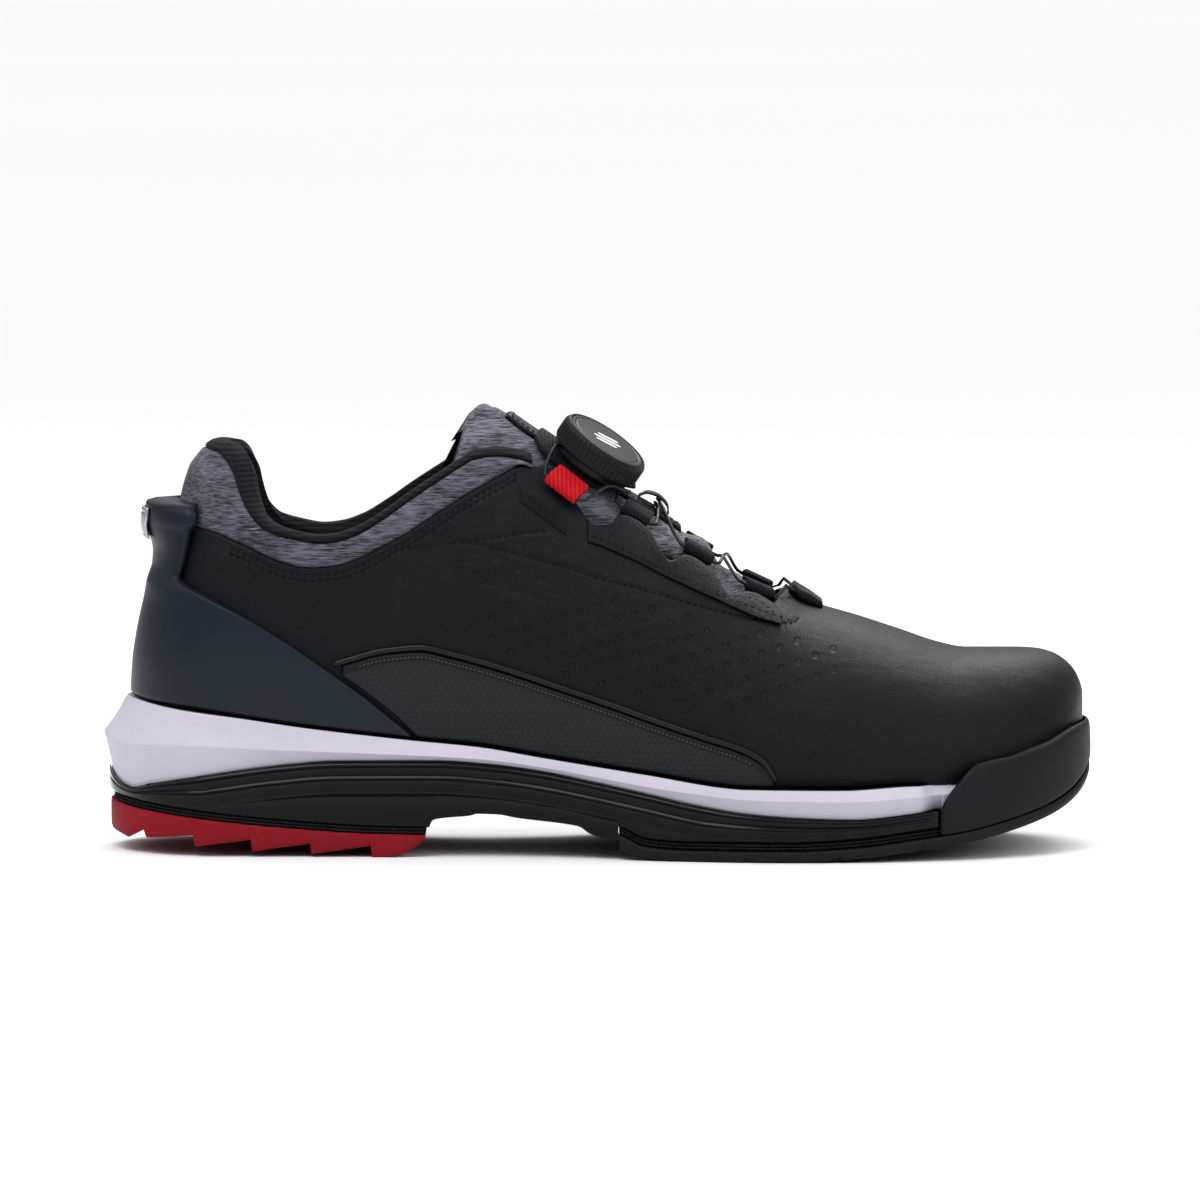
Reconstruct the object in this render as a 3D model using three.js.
// Bowling shoe for the right foot, with a turn-dial lace, a lift-off toothed heel and a lift-off sole.
// Millimetres. +X points to the toe, +Y to the inner side of the foot, +Z up; the floor is z = 0.
import * as THREE from 'three';

// ---------------------------------------------------------------- driving dimensions
const SHOE_LENGTH = 300;        // tip of the heel to the tip of the toe bumper
const SHOE_WIDTH = 108.5;       // widest place, across the ball of the foot
const UPPER_RISE = 1;           // height of the upper above the midsole, as a share of the standard last
const GAP = 0.3;                // clearance between pieces that touch
const LEATHER = 1.6;            // main leather
const LINING = 0.8;             // lining cloth
const OVERLAY = 1.1;            // panels sewn on the outside
const STIFFENER = 1.0;          // toe puff and heel stiffener
const TONGUE_THICK = 5;         // padded tongue
const COLLAR_THICK = 7.5;       // padded collar
const UPPER_INSET = 4.5;        // upper inside the widest line of the sole
const PAD_THICK = 3.4;          // forefoot sole
const CLOTH_THICK = 0.7;        // one face of the hook-and-loop fastening
const BOARD_THICK = 1.8;
const INSOLE_THICK = 5;
const SHANK_THICK = 1.2;
const LACE_R = 0.55;
const GUIDE_WALL = 0.8;         // webbing of a lace guide
const GUIDE_PLAY = 0.5;         // lace inside its guide
const DIAL_R = 14.35;
const DIAL_HEIGHT = 10.9;       // overlay to the top of the dial

const NOMINAL_LENGTH = 300;
const NOMINAL_WIDTH = 108.5;
const HALF = SHOE_LENGTH / 2;
const toX = (x) => x * SHOE_LENGTH / NOMINAL_LENGTH;
const toY = (y) => y * SHOE_WIDTH / NOMINAL_WIDTH;
const LATERAL = -1;
const MEDIAL = 1;
const HEEL = toX(-139.3);       // back of the leather at the sole
const TOE = toX(147.4);         // front of the leather
const { lerp, smoothstep } = THREE.MathUtils;

// ---------------------------------------------------------------- curves
// A smooth curve through hand-picked points, without overshoot (monotone cubic).
function smooth(points) {
  const n = points.length;
  const step = [];
  const rise = [];
  for (let i = 0; i < n - 1; i++) {
    step.push(points[i + 1][0] - points[i][0]);
    rise.push((points[i + 1][1] - points[i][1]) / step[i]);
  }
  const slope = [rise[0]];
  for (let i = 1; i < n - 1; i++) {
    const a = rise[i - 1];
    const b = rise[i];
    const wa = 2 * step[i] + step[i - 1];
    const wb = step[i] + 2 * step[i - 1];
    slope.push(a * b > 0 ? (wa + wb) / (wa / a + wb / b) : 0);
  }
  slope.push(rise[n - 2]);
  return (x) => {
    if (x <= points[0][0]) return points[0][1];
    if (x >= points[n - 1][0]) return points[n - 1][1];
    let i = 0;
    while (x > points[i + 1][0]) i++;
    const t = (x - points[i][0]) / step[i];
    const [h, u] = [step[i], 1 - t];
    return points[i][1] * (1 + 2 * t) * u * u + points[i + 1][1] * (3 - 2 * t) * t * t
      + h * (slope[i] * t * u * u - slope[i + 1] * t * t * u);
  };
}
const along = (points) => smooth(points.map(([x, v]) => [toX(x), v]));

// Where the upper meets the midsole, seen from the side.
const feather = along([[-145, 47], [-134, 45.3], [-110.8, 42.5], [-87.6, 39.1], [-56.6, 35.6], [-35.8, 33.6],
  [-17, 30.6], [14, 26], [44.9, 22], [73.5, 21.8], [94.7, 22.8], [110, 22.6], [130, 24], [148, 27]]);
// A height on the upper, given on the standard last.
const upperLine = (points) => {
  const line = along(points);
  return (x) => feather(x) + (line(x) - feather(x)) * UPPER_RISE;
};
const ridge = upperLine([[-145, 165], [-110, 163], [-80, 159], [-60, 153], [-40, 143], [-15, 126.5], [5, 112.8],
  [20, 103.3], [38.9, 89.5], [50, 82.3], [57, 78.3], [62.8, 75], [79.5, 69.7], [91.7, 65.6], [103.8, 61.5],
  [111.6, 60], [127, 60], [133, 59.7], [138, 58.5], [141.8, 56.3], [144.8, 53.2], [146.8, 49], [147.8, 44],
  [148, 41]]);
const collarRim = upperLine([[-142, 124], [-119.7, 124], [-115, 123.3], [-112.3, 121.3], [-110, 117.3],
  [-108.5, 112.3], [-106.1, 106.8], [-103, 102.8], [-98.4, 99.8], [-91.4, 97.9], [-83.7, 96.7], [-78.3, 97.3],
  [-72.1, 99.4], [-64.4, 104], [-56.6, 109.5], [-48.9, 114.6], [-41.1, 119.5], [-36.9, 121.7], [-30.7, 122.4],
  [-23.7, 121.4], [-16.7, 118.6]]);
const leatherTop = upperLine([[-142, 99], [-120, 97.8], [-107, 93.5], [-95, 88.5], [-87.6, 86.9], [-80, 87.3],
  [-72, 89.6], [-64.4, 93.5], [-56.6, 97.8], [-49, 102.8], [-41, 107.8], [-29, 114.5], [-23.7, 115.5],
  [-16.7, 112], [-4, 100], [7, 93], [20, 86], [34, 79], [44, 74], [51, 74.2], [54.8, 77], [57, 78.3]]);
const panelTop = upperLine([[-84, 57.4], [-73.6, 60.6], [-64.4, 63], [-53.4, 64], [-44.6, 62.2], [-29.1, 58],
  [-13.7, 53], [1.8, 48], [17.3, 42.7], [32.8, 37.7], [43.7, 34.2], [49.9, 30.4], [52.5, 26.4], [54, 23]]);
const spine = along([[-150, 0], [60, 0], [100, 1.2], [150, 5]]);
const lateralHalf = along([[-150, 38], [-100, 38], [-60, 39], [-30, 40.5], [0, 45], [30, 51], [50, 54], [70, 54.4],
  [98, 52.5], [150, 50]]);
const medialHalf = along([[-150, 36.5], [-100, 36], [-60, 33.5], [-30, 32.5], [0, 36.5], [30, 45], [50, 51],
  [70, 54], [98, 53.5], [150, 50]]);
const heelBack = smooth([[40, -139.6], [46, -139.3], [57, -138.6], [64, -137.6], [75, -135.2], [87, -131.5],
  [96, -129.3], [104.3, -127.2], [108, -126.4], [115.5, -123.9], [123, -119.4], [130, -114]]);
const archPower = along([[-141, 2.2], [-40, 2.4], [0, 2.6], [60, 2.3], [148, 2.2]]);
const archBlunt = along([[-141, 2.2], [60, 2.2], [110, 2.5], [148, 2.5]]);
const halfWidth = (x, side) => toY(side < 0 ? lateralHalf(x) : medialHalf(x));

// Round ends of the outline: 0 at the very end, 1 where the end's curve is over.
const HEEL_CURVE = toX(38);
const TOE_CURVE = toX(73);
const HEEL_BLUNT = 2.1;
const heelRound = (reach) => (reach >= HEEL_CURVE ? 1
  : Math.sqrt(Math.max(0, 1 - (1 - Math.max(0, reach) / HEEL_CURVE) ** HEEL_BLUNT)));
const TOE_BLUNT = 2.3;
const toeRound = (reach) => (reach >= TOE_CURVE ? 1
  : Math.max(0, 1 - (1 - Math.max(0, reach) / TOE_CURVE) ** TOE_BLUNT) ** (1 / TOE_BLUNT));

// ---------------------------------------------------------------- the last: one surface that the upper follows
const RIDGE_SLOPE = 1.18;       // a skin inside the ridge is this much lower for each mm of inset
const TUCK = 0.045;             // the upper turns in above the sole
const TUCK_SHARE = 0.22;
const LEAN_REACH = toX(62);     // how far forward the lean of the heel is felt

function archShare(x, z, inset) {
  const low = feather(x);
  const up = Math.min(1, Math.max(0, (z - low) / (ridge(x) - inset * RIDGE_SLOPE - low)));
  const tuck = 1 - TUCK * Math.max(0, 1 - up / TUCK_SHARE) ** 2;
  return tuck * (1 - up ** archPower(x)) ** (1 / archBlunt(x));
}

// A place on the upper: station x along the shoe, height z, side, and inset from the leather's outer face.
function onUpper(station, z, side, inset = 0) {
  const nominal = feather(station) + (z - feather(station)) / UPPER_RISE;
  const lean = toX(heelBack(nominal)) - HEEL + inset;
  const back = 1 - smoothstep(station, HEEL, HEEL + LEAN_REACH);
  const front = smoothstep(station, TOE - TOE_CURVE, TOE);
  const half = (halfWidth(station, side) - UPPER_INSET - inset) * archShare(station, z, inset);
  const round = heelRound(station - HEEL) * toeRound(TOE - station);
  return new THREE.Vector3(station + lean * back - inset * front, spine(station) + side * half * round, z);
}

// A place on the instep: station s on the ridge, y across, and inset, measured square to the ridge line.
function onInstep(s, y, inset = 0) {
  const slope = (ridge(s + 4) - ridge(s - 4)) / 8;
  const normal = new THREE.Vector3(-slope, 0, 1).normalize();
  const top = new THREE.Vector3(s, spine(s) + y, ridge(s));
  const side = y < 0 ? LATERAL : MEDIAL;
  let near = inset - 0.01;
  let far = 70;
  for (let i = 0; i < 40; i++) {
    const middle = (near + far) / 2;
    const place = top.clone().addScaledVector(normal, -middle);
    const half = (halfWidth(place.x, side) - UPPER_INSET - inset) * archShare(place.x, place.z, inset);
    if (half < Math.abs(y) || place.z > ridge(place.x) - inset * RIDGE_SLOPE) near = middle;
    else far = middle;
  }
  return top.addScaledVector(normal, -near);
}

const instepNormal = (s, y) => {
  const a = onInstep(s + 1, y).sub(onInstep(s - 1, y));
  const b = onInstep(s, y + 1).sub(onInstep(s, y - 1));
  return a.cross(b).normalize();
};

// ---------------------------------------------------------------- mesh builders
class Solid {
  constructor() {
    this.places = [];
    this.faces = [];
    this.lookup = new Map();
  }

  corner(v) {
    const key = `${Math.round(v.x * 2000)},${Math.round(v.y * 2000)},${Math.round(v.z * 2000)}`;
    if (!this.lookup.has(key)) {
      this.lookup.set(key, this.places.length);
      this.places.push(v);
    }
    return this.lookup.get(key);
  }

  triangle(a, b, c) {
    const [i, j, k] = [this.corner(a), this.corner(b), this.corner(c)];
    if (i !== j && j !== k && k !== i) this.faces.push([i, j, k]);
  }

  quad(a, b, c, d) {
    this.triangle(a, b, c);
    this.triangle(a, c, d);
  }

  geometry() {
    let volume = 0;
    for (const [i, j, k] of this.faces) {
      volume += this.places[i].dot(this.places[j].clone().cross(this.places[k]));
    }
    const index = this.faces.flatMap(([i, j, k]) => (volume > 0 ? [i, j, k] : [i, k, j]));
    const geometry = new THREE.BufferGeometry();
    geometry.setAttribute('position', new THREE.Float32BufferAttribute(this.places.flatMap((p) => [p.x, p.y, p.z]), 3));
    geometry.setIndex(index);
    geometry.computeVertexNormals();
    return geometry;
  }
}

// A thick sheet between two grids of places. joinEnds leaves the two end walls out, where the ends meet.
function thickSheet(outer, inner, { joinEnds = false, open = () => false } = {}) {
  const solid = new Solid();
  const rows = outer.length - 1;
  const columns = outer[0].length - 1;
  const present = (i, j) => i >= 0 && j >= 0 && i < rows && j < columns && !open(i, j);
  for (let i = 0; i < rows; i++) {
    for (let j = 0; j < columns; j++) {
      if (!present(i, j)) continue;
      solid.quad(outer[i][j], outer[i + 1][j], outer[i + 1][j + 1], outer[i][j + 1]);
      solid.quad(inner[i][j], inner[i][j + 1], inner[i + 1][j + 1], inner[i + 1][j]);
      const wall = (a, b, c, d) => solid.quad(outer[a][b], inner[a][b], inner[c][d], outer[c][d]);
      if (!present(i, j - 1)) wall(i, j, i + 1, j);
      if (!present(i, j + 1)) wall(i + 1, j + 1, i, j + 1);
      if (!present(i - 1, j) && !(joinEnds && i === 0)) wall(i, j + 1, i, j);
      if (!present(i + 1, j) && !(joinEnds && i === rows - 1)) wall(i + 1, j, i + 1, j + 1);
    }
  }
  return solid.geometry();
}

// A closed loop of places carried along stations, with its two ends closed by fans.
function loft(loops) {
  const solid = new Solid();
  const count = loops[0].length;
  for (let i = 0; i < loops.length - 1; i++) {
    for (let j = 0; j < count; j++) {
      const k = (j + 1) % count;
      solid.quad(loops[i][j], loops[i + 1][j], loops[i + 1][k], loops[i][k]);
    }
  }
  const cap = (loop, turned) => {
    const middle = loop.reduce((sum, p) => sum.add(p), new THREE.Vector3()).divideScalar(count);
    for (let j = 0; j < count; j++) {
      const k = (j + 1) % count;
      if (turned) solid.triangle(middle, loop[k], loop[j]);
      else solid.triangle(middle, loop[j], loop[k]);
    }
  };
  cap(loops[0], false);
  cap(loops[loops.length - 1], true);
  return solid.geometry();
}

// The outline of the sole, a given distance inside its widest line.
const END_REACH = toX(40);
function onOutline(x, side, inset) {
  const back = 1 - smoothstep(x, -HALF, -HALF + END_REACH);
  const front = smoothstep(x, HALF - END_REACH, HALF);
  const place = x + inset * (back - front);
  const round = heelRound(x + HALF) * toeRound(HALF - x);
  return [place, spine(place) + side * (halfWidth(place, side) - inset) * round];
}

const spread = (from, to, count, ease = (t) => t) =>
  Array.from({ length: count + 1 }, (_, i) => lerp(from, to, ease(i / count)));
const roundBothEnds = (t) => (1 - Math.cos(Math.PI * t)) / 2;

// A layer of the sole: levels from the bottom up, each with its inset from the outline and its height.
function soleLayer(stations, levels) {
  const solid = new Solid();
  const rings = levels.map(({ inset, height }) => {
    const at = (x, side) => {
      const [px, py] = onOutline(x, side, inset(x));
      return new THREE.Vector3(px, py, height(px));
    };
    return { lateral: stations.map((x) => at(x, LATERAL)), medial: stations.map((x) => at(x, MEDIAL)) };
  });
  const last = stations.length - 1;
  for (let level = 0; level < rings.length - 1; level++) {
    const [low, high] = [rings[level], rings[level + 1]];
    for (let i = 0; i < last; i++) {
      solid.quad(low.lateral[i], low.lateral[i + 1], high.lateral[i + 1], high.lateral[i]);
      solid.quad(low.medial[i + 1], low.medial[i], high.medial[i], high.medial[i + 1]);
    }
    solid.quad(low.medial[0], low.lateral[0], high.lateral[0], high.medial[0]);
    solid.quad(low.lateral[last], low.medial[last], high.medial[last], high.lateral[last]);
  }
  const [bottom, top] = [rings[0], rings[rings.length - 1]];
  for (let i = 0; i < last; i++) {
    solid.quad(bottom.lateral[i], bottom.medial[i], bottom.medial[i + 1], bottom.lateral[i + 1]);
    solid.quad(top.lateral[i], top.lateral[i + 1], top.medial[i + 1], top.medial[i]);
  }
  return solid.geometry();
}

// ---------------------------------------------------------------- the shoe and its colours
const shoe = new THREE.Group();
const finish = (color, roughness, metalness = 0) => ({ color, roughness, metalness });
const BLACK_LEATHER = finish(0x12151b, 0.45);
const DARK_PANEL = finish(0x23272c, 0.6);
const CLIP_TPU = finish(0x1b2632, 0.5);
const WHITE_FOAM = finish(0xdcdae6, 0.55);
const BLACK_TPU = finish(0x0b0d10, 0.15);
const BLACK_RUBBER = finish(0x14161b, 0.75);
const RED_RUBBER = finish(0x8e1029, 0.6);
const RED_WEBBING = finish(0xc81230, 0.7);
const BLACK_WEBBING = finish(0x15161a, 0.85);
const KNIT = finish(0x4c4f54, 0.95);
const LINING_CLOTH = finish(0x17181b, 0.95);
const BOARD = finish(0x8a7a66, 0.9);
const STEEL = finish(0x8f9297, 0.35, 0.9);
const LACE_COLOR = finish(0x3a3d42, 0.4, 0.3);

function add(name, geometry, look) {
  const mesh = new THREE.Mesh(geometry, new THREE.MeshStandardMaterial(look));
  mesh.name = name;
  shoe.add(mesh);
  return mesh;
}

// ---------------------------------------------------------------- sole unit
const creaseHeight = along([[-150, 35], [-142.7, 33], [-126.3, 33.6], [-95.3, 32.4], [-35.8, 30], [-17, 27.8],
  [-1.5, 25.2], [14, 22.5], [29.4, 20.5], [44.9, 19], [73.5, 18.4], [94.7, 19.4], [108, 20], [150, 22]]);
const carrierTop = along([[-150, 27], [-145, 21], [-140.6, 19.5], [-135.6, 21], [-126.3, 23], [-110.8, 25.6],
  [-95.3, 27.6], [-79.8, 28.8], [-48, 29], [-32.5, 28], [-17, 26.1], [-1.5, 23.2], [14, 20], [29.4, 16.7],
  [44.9, 14.3], [60.4, 13.1], [77, 12.6], [91, 13.7], [101, 15]]);
const heelPadTop = along([[-150, 15.6], [-148, 15.1], [-126.3, 12.2], [-95.3, 8.9], [-67.4, 7.1], [-51, 6.8]]);
const archBottom = along([[-50.6, 9.7], [-49.5, 11.3], [-45.2, 12], [-38, 12.7], [-36.8, 13.2], [-29.8, 13],
  [-24.7, 12.1], [-9.2, 10.4], [-5.8, 9.8], [-2.3, 7.6], [2.4, 6.2], [6.6, 5.7]]);
const soleBottom = along([[6.6, 3], [10.8, 1.6], [13.9, 0.9], [17.9, 0.4], [27.3, 0], [58, 0], [70.1, 0.5],
  [79.5, 1.2], [95.8, 3.2], [109.9, 5], [122, 7.6], [136.7, 12], [142.6, 15], [147.2, 18.9], [149.3, 22],
  [150, 23]]);
const fastening = 2 * CLOTH_THICK + 2 * GAP;
const padTop = (x) => soleBottom(x) + PAD_THICK + 1.2 * smoothstep(x, toX(14), toX(6.6));
const PAD_BACK = toX(6.6);
const HEEL_FRONT = toX(-52);
const CARRIER_FRONT = toX(101);
const PAD_STEP = PAD_BACK - 2 * GAP;
const carrierBottom = (x) => {
  if (x <= toX(-50.6)) return heelPadTop(x) + fastening + GAP;
  if (x >= PAD_STEP) return padTop(x) + fastening + GAP;
  return archBottom(x);
};
const sheathed = (x) => (UPPER_INSET + 0.3) * smoothstep(x, toX(96), toX(101));
const midsoleBottom = (x) => (x < CARRIER_FRONT + 1 ? carrierTop(x) + GAP : padTop(x) + GAP + 0.5);
const SEAT = 0.45;              // the upper stands this far above the midsole, on its cement line

const fullLength = spread(-HALF, HALF, 34, roundBothEnds);
const withStations = (list, extra) => [...new Set([...list, ...extra])].sort((a, b) => a - b);
const between = (list, from, to) => [from, ...list.filter((x) => x > from + 1 && x < to - 1), to];

add('midsole', soleLayer(withStations(fullLength, [CARRIER_FRONT + 0.9, CARRIER_FRONT + 1.1]), [
  { inset: (x) => 2.6 + sheathed(x), height: midsoleBottom },
  { inset: (x) => sheathed(x), height: (x) => Math.max(creaseHeight(x), midsoleBottom(x) + 1) },
  { inset: (x) => 3 + sheathed(x), height: (x) => feather(x) - SEAT },
]), WHITE_FOAM);

const archStations = [-50.7, -50.5, -49.5, -45.2, -36.8, -24.7, -9.2, -5.8, -2.3, 2.4].map(toX)
  .concat([PAD_STEP - 0.05, PAD_STEP + 0.05]);
add('sole_carrier', soleLayer(between(withStations(fullLength, archStations), -HALF, CARRIER_FRONT), [
  { inset: () => 2.4, height: carrierBottom },
  { inset: () => 1.2, height: (x) => lerp(carrierBottom(x), carrierTop(x), 0.25) },
  { inset: () => 1.6, height: (x) => lerp(carrierBottom(x), carrierTop(x), 0.6) },
  { inset: () => 2.2, height: carrierTop },
]), BLACK_TPU);

const heelStations = between(fullLength, -HALF, HEEL_FRONT);
const clothLayer = (stations, bottom, inset) => soleLayer(stations, [
  { inset: () => inset, height: bottom },
  { inset: () => inset, height: (x) => bottom(x) + CLOTH_THICK },
]);
const heelHook = (x) => heelPadTop(x) + 2 * GAP + CLOTH_THICK;
add('heel_hook_sheet', clothLayer(heelStations, heelHook, 3), BLACK_WEBBING);
add('heel_loop_sheet', clothLayer(heelStations, (x) => heelPadTop(x) + GAP, 3), BLACK_WEBBING);

// The heel's teeth slope up to the front and step down again: [back of the tooth, its tip, its root in front].
const TEETH = [[-136.4, 4.8, 6.5], [-121.4, 3, 5.2], [-104, 1.6, 4], [-86.2, 0.8, 3.4], [-67.9, 0, 0.2]];
const TOOTH_STEP = 0.4;
const toothLine = along([[-150, 8], [-147.1, 5.8], [-141.8, 4.3], [-136.8, 7.3],
  ...TEETH.flatMap(([x, tip, root], i) => {
    const next = TEETH[i + 1];
    return next ? [[x, tip], [next[0] - TOOTH_STEP, root]] : [[x, tip]];
  }),
  [-62, 0.2], [-58.6, 1.1], [-55.6, 2.6], [-53.4, 4.2], [-52, 5.6]]);
const toothStations = TEETH.flatMap(([x]) => [x - TOOTH_STEP, x]).concat([-147.1, -141.8, -62, -58.6, -55.6, -53.4]);
const heelPadStations = [-HALF, ...spread(-HALF + 1, HEEL_FRONT - 1, 18, (t) => t ** 1.4)
  .filter((x) => toothStations.every((tooth) => Math.abs(toX(tooth) - x) > 1.5)), ...toothStations.map(toX), HEEL_FRONT]
  .sort((a, b) => a - b);
add('heel_pad', soleLayer(heelPadStations, [
  { inset: () => 2.4, height: toothLine },
  { inset: () => 1.8, height: (x) => Math.max(toothLine(x) + 0.8, heelPadTop(x) - 2) },
  { inset: () => 2.4, height: heelPadTop },
]), RED_RUBBER);

const soleStations = between(withStations(fullLength, [10.8, 13.9, 27.3, 58].map(toX)), PAD_BACK, HALF);
const forefootStations = between(fullLength, PAD_BACK, CARRIER_FRONT);
const soleHook = (x) => padTop(x) + 2 * GAP + CLOTH_THICK;
add('sole_loop_sheet', clothLayer(forefootStations, (x) => padTop(x) + GAP, 3), BLACK_WEBBING);
add('sole_hook_sheet', clothLayer(forefootStations, soleHook, 3), BLACK_WEBBING);
add('sole_pad', soleLayer(soleStations, [
  { inset: () => 1.6, height: soleBottom },
  { inset: () => 0.4, height: (x) => soleBottom(x) + 1.2 },
  { inset: () => 0.4, height: padTop },
]), BLACK_RUBBER);

// Bench inside the shoe: shank, board and insole lie on the midsole, inside the lining.
const liningPlay = along([[-145, 3.4], [-70, 3.4], [-30, 0.4], [35, 0.4], [50, 1.4], [70, 1.2], [92, 1], [106, 2.2],
  [148, 2.2]]);
const liningInset = (x) => LEATHER + liningPlay(x);
const lastFloor = (x) => feather(x) + GAP;
function innerLayer(from, to, thickness, lift, clearance) {
  const stations = spread(from, to, 26, roundBothEnds);
  const outer = [];
  const inner = [];
  for (const x of stations) {
    const low = lastFloor(x) + lift;
    const inset = liningInset(x) + LINING + clearance;
    const edges = [LATERAL, MEDIAL].map((side) => onUpper(x, low, side, inset));
    outer.push([0, 0.5, 1].map((t) => edges[0].clone().lerp(edges[1], t).setZ(low)));
    inner.push([0, 0.5, 1].map((t) => edges[0].clone().lerp(edges[1], t).setZ(low + thickness)));
  }
  return thickSheet(outer, inner);
}
const BOARD_CLEAR = 1.4;
const INSOLE_CLEAR = 2.6;
add('shank_plate', loft(spread(toX(-92), toX(8), 12).map((x) => [[-11, 0], [11, 0], [11, 1], [-11, 1]].map(
  ([y, t]) => new THREE.Vector3(x, spine(x) + y, lastFloor(x) + t * SHANK_THICK)))), STEEL);
const boardLift = SHANK_THICK + GAP;
const insoleLift = boardLift + BOARD_THICK + GAP;
add('lasting_board', innerLayer(HEEL + 4, TOE - 6, BOARD_THICK, boardLift, BOARD_CLEAR), BOARD);
add('insole', innerLayer(HEEL + 5, TOE - 8, INSOLE_THICK, insoleLift, INSOLE_CLEAR), LINING_CLOTH);

// ---------------------------------------------------------------- upper
// Rows of places on one side, from a low line to a high line; even steps of the arch's angle keep the crown round.
function sideRow(station, low, high, side, inset, rows) {
  const base = feather(station);
  const crown = ridge(station) - inset * RIDGE_SLOPE;
  const power = archPower(station) / 2;
  const angle = (z) => Math.asin(Math.min(1, Math.max(0, (z - base) / (crown - base))) ** power);
  const [from, to] = [angle(low), angle(Math.min(high, crown))];
  return spread(from, to, rows).map((a) => {
    const z = base + (crown - base) * Math.sin(a) ** (1 / power);
    return onUpper(station, z, side, inset);
  });
}
// A shell that runs round the heel on both sides and closes over the toe in front of the throat.
function bootShell(stations, throat, low, top, insetOf, thickness, rows) {
  const grid = (extra) => stations.map((x) => {
    const high = x >= throat ? ridge(x) : top(x);
    const lateral = sideRow(x, low(x), high, LATERAL, insetOf(x) + extra, rows);
    const medial = sideRow(x, low(x), high, MEDIAL, insetOf(x) + extra, rows);
    return [...lateral, ...medial.reverse()];
  });
  const open = (i, j) => j === rows && stations[i] < throat;
  return thickSheet(grid(0), grid(thickness), { joinEnds: true, open });
}
const THROAT = toX(57);
const bootStations = [...spread(HEEL, toX(-20), 16, (t) => t ** 1.5), ...spread(toX(-12), THROAT, 9, (t) => 1 - (1 - t) ** 1.4),
  ...spread(toX(64), TOE, 14, (t) => 1 - (1 - t) ** 1.9)];
add('upper_leather', bootShell(bootStations, THROAT, feather, leatherTop, () => 0, LEATHER, 6), BLACK_LEATHER);

const COLLAR_DEPTH = 24;
const COLLAR_SEAT = 2.4;
const liningTop = (x) => {
  const behind = collarRim(x) - COLLAR_DEPTH - COLLAR_SEAT;
  const ahead = leatherTop(x) - 1.5;
  return lerp(behind, ahead, smoothstep(x, toX(-19), toX(-9)));
};
add('lining', bootShell(bootStations, THROAT, (x) => feather(x) + GAP, liningTop, liningInset, LINING, 4), LINING_CLOTH);

// A sheet on the upper round the heel or the toe: t runs from -1 on the outer side to +1 on the inner side.
function wrapSheet({ end, reach, low, high, outer, inner, columns = 12, rows = 4 }) {
  const build = (inset) => spread(-1, 1, 2 * columns).map((t) => {
    const side = t < 0 ? LATERAL : MEDIAL;
    return spread(0, 1, rows).map((v) => {
      const station = end + (reach(v, side) - end) * t * t;
      const z = lerp(low(station), high(station), v);
      return onUpper(station, z, side, inset(station, v));
    });
  });
  return thickSheet(build(outer), build(inner));
}
const stiffenerOuter = LEATHER + GAP + 0.4;
add('heel_stiffener', wrapSheet({
  end: HEEL, reach: (v) => lerp(toX(-78), toX(-100), v), low: (x) => feather(x) + 1, high: () => feather(HEEL) + 24,
  outer: () => stiffenerOuter, inner: () => stiffenerOuter + STIFFENER,
}), BOARD);
const puffOuter = stiffenerOuter + 0.4;
add('toe_puff', wrapSheet({
  end: TOE, reach: () => toX(118), low: (x) => feather(x) + 1, high: (x) => lerp(feather(x), ridge(x), 0.6),
  outer: () => puffOuter, inner: () => puffOuter + STIFFENER * 0.8,
}), BOARD);

// The padded collar: a closed section carried from the outer front, round the heel, to the inner front.
const COLLAR_FRONT = toX(-20);
const collarShare = along([[-140, 1], [-90, 1], [-50, 0.5], [-20, 0.35]]);
const collarBulge = along([[-140, 0], [-112, 0], [-98, 1], [-40, 1], [-20, 0.6]]);
const collarLoops = spread(-1, 1, 44).map((t) => {
  const side = t < 0 ? LATERAL : MEDIAL;
  const station = HEEL + (COLLAR_FRONT - HEEL) * Math.abs(t) ** 1.7;
  const rim = collarRim(station);
  const bulge = collarBulge(station);
  const seam = Math.min(leatherTop(station), rim - 4);
  const inside = LEATHER + GAP + 0.2;
  const deep = inside + COLLAR_THICK * collarShare(station);
  const bottom = Math.max(rim - COLLAR_DEPTH, feather(station) + 20);
  return [[inside + 0.3, bottom], [inside, seam + 0.4], [0.3 - 0.7 * bulge, seam + 1.6], [0.3 - 1.2 * bulge, lerp(seam, rim, 0.55)],
    [0.6, rim - 1.2], [(inside + deep) / 2 - 0.6, rim], [deep - 0.6, rim - 3], [deep, rim - 9],
    [lerp(inside, deep, 0.8), bottom]].map(([inset, z]) => onUpper(station, z, side, inset));
});
add('collar_pad', loft(collarLoops), KNIT);

// Panels sewn or moulded over the leather.
const PANEL_FRONT = toX(53.6);
function sidePanel(side, low, high, outer, inner, from, to, columns = 22, rows = 3) {
  const build = (inset) => spread(from, to, columns).map((x) => spread(0, 1, rows).map((v) =>
    onUpper(x, lerp(low(x), high(x), v), side, inset)));
  return thickSheet(build(outer), build(inner));
}
const PIPING = 1.7;
const clipFront = smooth([[0, -54.3], [9.8, -68.2], [18, -81.8], [23.5, -91.4], [29.2, -103], [33.3, -113.9],
  [36.5, -122.6], [38.4, -125.4], [42, -126.6], [46, -125.6], [54.5, -119.6], [57, -119.2], [58.6, -121],
  [59.6, -127], [60.2, -131]]);
const CLIP_HEIGHT = 59.8;
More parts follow.
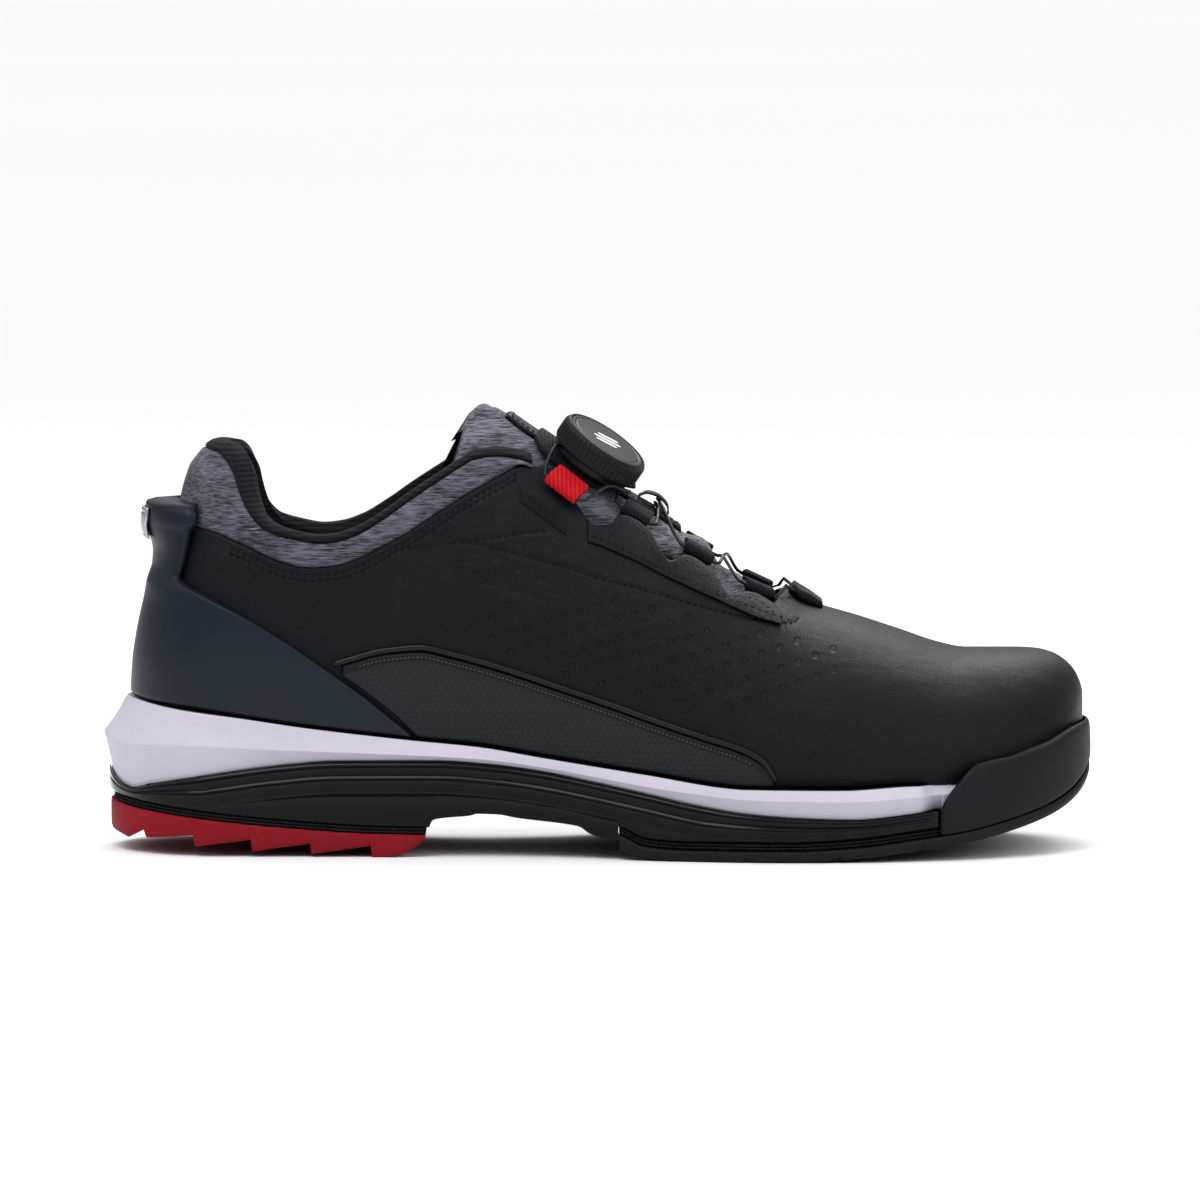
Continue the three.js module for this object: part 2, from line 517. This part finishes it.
// The side panel starts where the heel clip ends, with a narrow joint between them.
const clipRise = smooth([[-131, 60], [-122.6, 36.5], [-113.9, 33.3], [-103, 29.2], [-91.4, 23.5], [-81.8, 18],
  [-68.2, 9.8], [-54.3, 0]]);
const panelLow = (x) => {
  const clip = clipRise(x * NOMINAL_LENGTH / SHOE_LENGTH) * UPPER_RISE;
  return feather(x) + Math.max(0.4, clip + 1.6 * smoothstep(-x, toX(50), toX(62)));
};
for (const [side, word] of [[LATERAL, 'outer'], [MEDIAL, 'inner']]) {
  const high = (x) => Math.max(panelTop(x) - PIPING - GAP, panelLow(x) + 0.4);
  add(`side_panel_${word}`, sidePanel(side, panelLow, high, -GAP - OVERLAY, -GAP, toX(-77), toX(47)), DARK_PANEL);
  add(`panel_piping_${word}`, sidePanel(side, (x) => panelTop(x) - PIPING, panelTop, -GAP - 1.2, -GAP, toX(-80),
    PANEL_FRONT, 24, 1), BLACK_WEBBING);
}

// Heel clip: a moulded cup round the back of the heel with a thick head behind the collar.
const CLIP_WALL = 1.9;
const clipThick = smooth([[0, CLIP_WALL], [28, 2], [36, 3], [44, 4.4], [52, 8], [60, 9.4]]);
const clipRows = [0, 5, 10, 16, 22, 28, 33, 37, 41, 46, 51, 55, 58, CLIP_HEIGHT];
function clipGrid(insetOf) {
  return spread(-1, 1, 20).map((t) => clipRows.map((h) => {
    const side = t < 0 ? LATERAL : MEDIAL;
    const front = toX(clipFront(h));
    const station = HEEL + (front - HEEL) * t * t;
    return onUpper(station, feather(station) + 0.4 + h * UPPER_RISE, side, insetOf(h, Math.abs(t)));
  }));
}
const CLIP_STAND = 0.9;         // room for the cement and the stitching under the clip
add('heel_clip', thickSheet(clipGrid((h, t) => -CLIP_STAND - lerp(clipThick(h), CLIP_WALL, t * t)),
  clipGrid(() => -CLIP_STAND)), CLIP_TPU);
// A plain plate set on the clip's head.
const badgeGrid = (lift) => spread(-0.34, 0.34, 6).map((t) => spread(47.5, 57, 4).map((h) => {
  const side = t < 0 ? LATERAL : MEDIAL;
  const front = toX(clipFront(h));
  const station = HEEL + (front - HEEL) * t * t;
  const inset = -CLIP_STAND - lerp(clipThick(h), CLIP_WALL, t * t) - lift;
  return onUpper(station, feather(station) + 0.4 + h * UPPER_RISE, side, inset);
}));
add('heel_badge', thickSheet(badgeGrid(GAP + 0.9), badgeGrid(GAP)), STEEL);

// Toe bumper: rubber moulded round the toe, thick at the sole and thin at its top edge.
const bumperTop = along([[101, 11.2], [103.8, 17.8], [108.1, 23.4], [111.2, 26.9], [113.5, 28.5], [119.3, 29.9],
  [123.2, 30.3], [130.9, 32.3], [137.1, 34], [147.2, 38.2], [150, 38.6]]);
const BUMPER_BACK = toX(102.5);
const atSides = (t) => smoothstep(Math.abs(t), 0.12, 0.6);
const bumperInside = (v, t) => lerp(1.8, UPPER_INSET - 0.6, atSides(t));
const bumperFace = (v, t) => 0.2 + lerp(0.4, 2, atSides(t)) * v ** 2;
const bumperGrid = (insetOf) => spread(-1, 1, 36).map((t) => {
  const side = t < 0 ? LATERAL : MEDIAL;
  const x = HALF + (BUMPER_BACK - HALF) * Math.abs(t) ** 1.7;
  const low = padTop(x) + GAP;
  const high = Math.max(bumperTop(x), low + 3);
  return spread(0, 1, 4).map((v) => {
    const [px, py] = onOutline(x, side, insetOf(v, t));
    return new THREE.Vector3(px, py, lerp(low, high, v));
  });
});
add('toe_bumper', thickSheet(bumperGrid(bumperFace), bumperGrid(bumperInside)), BLACK_RUBBER);

// ---------------------------------------------------------------- throat: tongue, eyestays, guides
const TONGUE_INSET = LEATHER + LINING + 0.8;
const tongueHalf = smooth([[-34, 13], [-32, 16], [-27, 19.5], [-18, 21.5], [0, 22], [30, 20], [66, 15]]);
const underVamp = (s) => 2.9 * smoothstep(s, 32, 47);
const tuckedEdge = (s, v) => 3.4 * smoothstep(Math.abs(v), 0.35, 0.9) * smoothstep(-s, -16, 12);
// The tongue and what lies on it are as wide as the room between the walls at the waist of the shoe lets them be.
const WAIST = 32.5;
const STANDARD_ROOM = 16.4;
const roomShare = (toY(WAIST) - UPPER_INSET - TONGUE_INSET - TONGUE_THICK - 3.4) / STANDARD_ROOM;
const instepSheet = (from, to, half, outer, inner, columns = 10, rows = 8, innerShare = 1,
  centre = 0) => {
  const build = (inset, share) => spread(toX(from), toX(to), columns).map((s) => spread(-1, 1, rows).map((v) =>
    onInstep(s, centre + v * roomShare * half(s / toX(1)) * share, inset(s / toX(1), v))));
  return thickSheet(build(outer, 1), build(inner, innerShare));
};
const tongueOuter = (s, v) => TONGUE_INSET + tuckedEdge(s, v) + underVamp(s);
add('tongue', instepSheet(-34, 66, tongueHalf, tongueOuter, (s, v) => tongueOuter(s, v) + TONGUE_THICK, 18, 10, 0.8), KNIT);
const stripOuter = TONGUE_INSET - GAP - OVERLAY;
const stripHalf = smooth([[-26, 7], [-20, 8.5], [5, 8.5], [20, 7.5], [27, 6]]);
add('tongue_strip', instepSheet(-26, 27, stripHalf, () => stripOuter, () => TONGUE_INSET - GAP, 14, 6), BLACK_LEATHER);
const tabHalf = smooth([[58.5, 5], [61, 8.5], [68, 6.5]]);
const tabLift = smooth([[58.5, 2.2], [62, 1.9], [68, 0.4]]);
const PATCH_THICK = 1;
const patchHalf = smooth([[-17, 6], [-14, 9], [-4, 11], [4, 10], [7, 7]]);
add('dial_patch', instepSheet(-17, 7, patchHalf, () => stripOuter - GAP - PATCH_THICK, () => stripOuter - GAP, 10, 8, 1,
  toY(-6)), BLACK_WEBBING);
add('throat_tab', instepSheet(58.5, 68, tabHalf, (s) => -tabLift(s) - OVERLAY, (s) => -tabLift(s), 5, 6), BLACK_LEATHER);

const eyeTop = upperLine([[-17, 117.5], [-11, 112.5], [-6, 106], [-1, 99.5], [3, 98.5], [6.5, 102.5], [15, 98.4],
  [18, 93.5], [22, 89], [26, 90.4], [34, 86], [37.5, 81], [41, 77.5], [44.5, 79.4], [53, 75.6], [55.5, 72.6]]);
const eyeLow = upperLine([[-17, 96], [-4, 94.8], [9.5, 89.8], [20.3, 84.5], [36.3, 77.2], [48, 72], [55.5, 69.8]]);
for (const [side, word] of [[LATERAL, 'outer'], [MEDIAL, 'inner']]) {
  add(`eyestay_${word}`, sidePanel(side, eyeLow, (x) => Math.max(eyeTop(x), eyeLow(x) + 1), -GAP - OVERLAY, -GAP,
    toX(-14), toX(55.5), 34, 3), BLACK_LEATHER);
}

// A guide of folded webbing: a ring for the lace with a tail that runs under the eyestay.
const RING_IN = LACE_R + GUIDE_PLAY;
const RING_OUT = RING_IN + GUIDE_WALL;
function guideGeometry(length, tail) {
  const outline = new THREE.Shape();
  outline.moveTo(tail, -RING_OUT);
  outline.lineTo(0, -RING_OUT);
  outline.absarc(0, 0, RING_OUT, -Math.PI / 2, -Math.PI * 1.5, true);
  outline.lineTo(RING_OUT, RING_OUT * 0.55);
  outline.lineTo(tail, -RING_OUT + GUIDE_WALL);
  outline.closePath();
  const bore = new THREE.Path();
  bore.absarc(0, 0, RING_IN, 0, Math.PI * 2, false);
  outline.holes.push(bore);
  const body = new THREE.ExtrudeGeometry(outline, { depth: length, bevelEnabled: false, curveSegments: 6, steps: 1 });
  return body.translate(0, 0, -length / 2);
}
// Set in place by the lace's direction and the outward normal; its tail then points down the side of the shoe.
function frameAt(centre, direction, normal) {
  const z = direction.clone().normalize();
  const x = normal.clone().cross(z).normalize();
  const y = z.clone().cross(x);
  return new THREE.Matrix4().makeBasis(x, y, z).setPosition(centre);
}
const sideNormal = (x, z, side) => {
  const a = onUpper(x + 2, z, side).sub(onUpper(x - 2, z, side));
  const b = onUpper(x, z + 2, side).sub(onUpper(x, z - 2, side));
  return a.cross(b).normalize().multiplyScalar(side < 0 ? 1 : -1);
};
const GUIDES = [
  { name: 'lace_guide_top', from: [7.3, 104.2], to: [15.2, 99.6] },
  { name: 'lace_guide_middle', from: [26.4, 92.6], to: [34.4, 88] },
  { name: 'lace_guide_low', from: [44.8, 81], to: [52.8, 77.4] },
];
const GUIDE_TAIL = 7;
const GUIDE_INSET = 0.6;
const guideEnds = { [LATERAL]: [], [MEDIAL]: [] };
function placeGuide(name, from, to, side, inset, tail, look) {
  const rise = ([x, z]) => feather(toX(x)) + (z - feather(toX(x))) * UPPER_RISE;
  const a = onUpper(toX(from[0]), rise(from), side, inset);
  const b = onUpper(toX(to[0]), rise(to), side, inset);
  const centre = a.clone().add(b).multiplyScalar(0.5);
  const direction = b.clone().sub(a);
  const length = direction.length();
  const outward = sideNormal(centre.x, centre.z, side);
  const axis = side < 0 ? direction : direction.clone().negate();
  const mesh = add(name, guideGeometry(length, tail), look);
  mesh.applyMatrix4(frameAt(centre, axis, outward));
  return [a, b];
}
const DIAL_EXTRA = DIAL_R - 14.35; // the pull loops stay clear of a wider dial
const RED_LOOP = { from: [-14.6, 113.6 - DIAL_EXTRA], to: [-6.6, 107.6 - DIAL_EXTRA] };
for (const [side, word] of [[LATERAL, 'outer'], [MEDIAL, 'inner']]) {
  guideEnds[side].push(placeGuide(`pull_loop_${word}`, RED_LOOP.from, RED_LOOP.to, side, -3.4, 6.5, RED_WEBBING));
  for (const { name, from, to } of GUIDES) {
    guideEnds[side].push(placeGuide(`${name}_${word}`, from, to, side, GUIDE_INSET, GUIDE_TAIL, BLACK_WEBBING));
  }
}

// ---------------------------------------------------------------- dial
const DIAL_S = toX(-1.6);
const DIAL_Y = toY(-7.4);
const dialFoot = onInstep(DIAL_S, DIAL_Y, stripOuter);
const dialAxis = instepNormal(DIAL_S, DIAL_Y);
const dial = new THREE.Group();
dial.position.copy(dialFoot);
dial.quaternion.setFromUnitVectors(new THREE.Vector3(0, 1, 0), dialAxis);
shoe.add(dial);
const SEGMENTS = 24;
function addTurned(name, profile, look) {
  const points = profile.map(([r, a]) => new THREE.Vector2(r, a));
  const mesh = new THREE.Mesh(new THREE.LatheGeometry(points, SEGMENTS), new THREE.MeshStandardMaterial(look));
  mesh.name = name;
  dial.add(mesh);
}
const BASE_R = DIAL_R - 1.9;
const BASE_FOOT = 1.6;
const POST_R = 1.7;
const FLOOR = BASE_FOOT + 1;
const SPOOL_TOP = FLOOR + GAP + 2.6;
const DRIVE_TOP = SPOOL_TOP + GAP + 1.2;
const RIM = BASE_R - 1.1;
addTurned('dial_base', [[0, BASE_FOOT], [BASE_R, BASE_FOOT], [BASE_R, SPOOL_TOP], [RIM, SPOOL_TOP], [RIM, FLOOR],
  [POST_R, FLOOR], [POST_R, DRIVE_TOP], [1.1, DRIVE_TOP], [1.1, FLOOR + 1], [0, FLOOR + 1]], BLACK_TPU);
const HUB = POST_R + GAP;
addTurned('dial_spool', [[HUB, FLOOR + GAP], [RIM - GAP, FLOOR + GAP], [RIM - GAP, FLOOR + GAP + 0.5],
  [6.5, FLOOR + GAP + 0.8], [6.5, SPOOL_TOP - 0.8], [RIM - GAP, SPOOL_TOP - 0.5], [RIM - GAP, SPOOL_TOP],
  [HUB, SPOOL_TOP], [HUB, FLOOR + GAP]], BLACK_WEBBING);
addTurned('dial_drive', [[HUB, SPOOL_TOP + GAP], [RIM, SPOOL_TOP + GAP], [RIM, DRIVE_TOP], [HUB, DRIVE_TOP],
  [HUB, SPOOL_TOP + GAP]], STEEL);
const SCREW_HEAD = DRIVE_TOP + GAP;
addTurned('dial_screw', [[0, FLOOR + 1.3], [0.8, FLOOR + 1.3], [0.8, SCREW_HEAD], [3, SCREW_HEAD],
  [3, SCREW_HEAD + 0.9], [0, SCREW_HEAD + 0.9]], STEEL);
const KNOB_FOOT = BASE_FOOT + 2.1;
const KNOB_SEAT = SCREW_HEAD + 0.9 + GAP;
const CAP_R = DIAL_R - 1.85;
const CAP_SEAT = DIAL_HEIGHT - 0.9;
addTurned('dial_knob', [[0, KNOB_SEAT], [3.4, KNOB_SEAT], [3.4, DRIVE_TOP + GAP], [BASE_R - 0.3, DRIVE_TOP + GAP],
  [BASE_R + GAP, DRIVE_TOP - 0.6], [BASE_R + GAP, KNOB_FOOT], [DIAL_R - 0.5, KNOB_FOOT], [DIAL_R, KNOB_FOOT + 1],
  [DIAL_R, DIAL_HEIGHT - 1.4], [DIAL_R - 0.9, DIAL_HEIGHT - 0.2], [CAP_R + GAP, DIAL_HEIGHT],
  [CAP_R + GAP, CAP_SEAT], [0, CAP_SEAT]], BLACK_RUBBER);
addTurned('dial_cap', [[0, CAP_SEAT + GAP], [CAP_R, CAP_SEAT + GAP], [CAP_R, DIAL_HEIGHT - 0.2],
  [0, DIAL_HEIGHT - 0.2]], BLACK_TPU);

// ---------------------------------------------------------------- lace
// A bridge on the tongue strip keeps the two crossing strands of the lace together.
const BRIDGE_RISE = 3.3;
const bridgeLift = smooth([[13, GAP], [14.6, BRIDGE_RISE * 0.75], [17.5, BRIDGE_RISE], [20.4, BRIDGE_RISE * 0.75],
  [22, GAP]]);
add('tongue_bridge', instepSheet(13, 22, () => 4.6, (s) => stripOuter - bridgeLift(s) - GUIDE_WALL,
  (s) => stripOuter - bridgeLift(s), 10, 4), BLACK_LEATHER);

// One lace, from its exit behind the dial through every guide and back to the other exit.
const onTongue = (s, y, lift) => onInstep(toX(s), toY(y), TONGUE_INSET - lift);
const dialFront = new THREE.Vector3(1, 0, (ridge(DIAL_S + 4) - ridge(DIAL_S - 4)) / 8).normalize();
dialFront.addScaledVector(dialAxis, -dialFront.dot(dialAxis)).normalize();
const dialSide = dialAxis.clone().cross(dialFront);
const LACE_HEIGHT = 2.6;
function besideDial(degrees, side, clearance = LACE_R + 0.5) {
  const turn = THREE.MathUtils.degToRad(degrees);
  return dialFoot.clone().addScaledVector(dialAxis, LACE_HEIGHT)
    .addScaledVector(dialFront, Math.cos(turn) * (BASE_R + clearance))
    .addScaledVector(dialSide, side * Math.sin(turn) * (BASE_R + clearance));
}
function throughGuide([a, b]) {
  const direction = b.clone().sub(a).normalize();
  return [a.clone().addScaledVector(direction, -1.7), a.clone().addScaledVector(direction, 0.6),
    b.clone().addScaledVector(direction, -0.6), b.clone().addScaledVector(direction, 1.7)];
}
const [RED, TOP, MIDDLE, LOW] = [0, 1, 2, 3];
const LOWER_STRAND = 1.2;
const UPPER_STRAND = 2.6;
const STRIP_LIFT = TONGUE_INSET - stripOuter;
// From the dial on one side to the bridge, then over the ridge to the other side's middle guide and back.
function laceHalf(side, strand) {
  const near = guideEnds[side];
  const far = guideEnds[-side];
  return [
    besideDial(152, side, GAP), besideDial(146, side, 2.4),
    ...throughGuide(near[RED]),
    besideDial(58, side, LACE_R + 1.6), besideDial(32, side, LACE_R + 1.7), besideDial(16, side, LACE_R + 2.6),
    onTongue(7.8, side * 13.5, STRIP_LIFT + 2.2),
    ...throughGuide(near[TOP]),
    onTongue(19, side * 8, strand + STRIP_LIFT - 0.2), onTongue(17.6, 0, strand + STRIP_LIFT),
    onTongue(19.4, -side * 7.5, strand + STRIP_LIFT - 0.2),
    ...throughGuide(far[MIDDLE]),
    onTongue(38.6, -side * 7, strand), onTongue(39.4, 0, strand), onTongue(40.4, side * 7, strand),
    ...throughGuide(near[LOW]),
    onInstep(toX(55.6), side * toY(15), -2.7), onInstep(toX(59.4), side * toY(9), -1.3),
  ];
}
const lacePoints = [...laceHalf(LATERAL, LOWER_STRAND), onInstep(toX(60.6), 0, -1.1),
  ...laceHalf(MEDIAL, UPPER_STRAND).reverse()];
const laceSection = new THREE.Shape(spread(0, Math.PI * 2, 8).slice(0, 8).map((a) =>
  new THREE.Vector2(Math.cos(a) * LACE_R, Math.sin(a) * LACE_R)));
add('lace', new THREE.ExtrudeGeometry(laceSection, {
  steps: 140, bevelEnabled: false, extrudePath: new THREE.CatmullRomCurve3(lacePoints, false, 'centripetal'),
}), LACE_COLOR);

export default shoe;
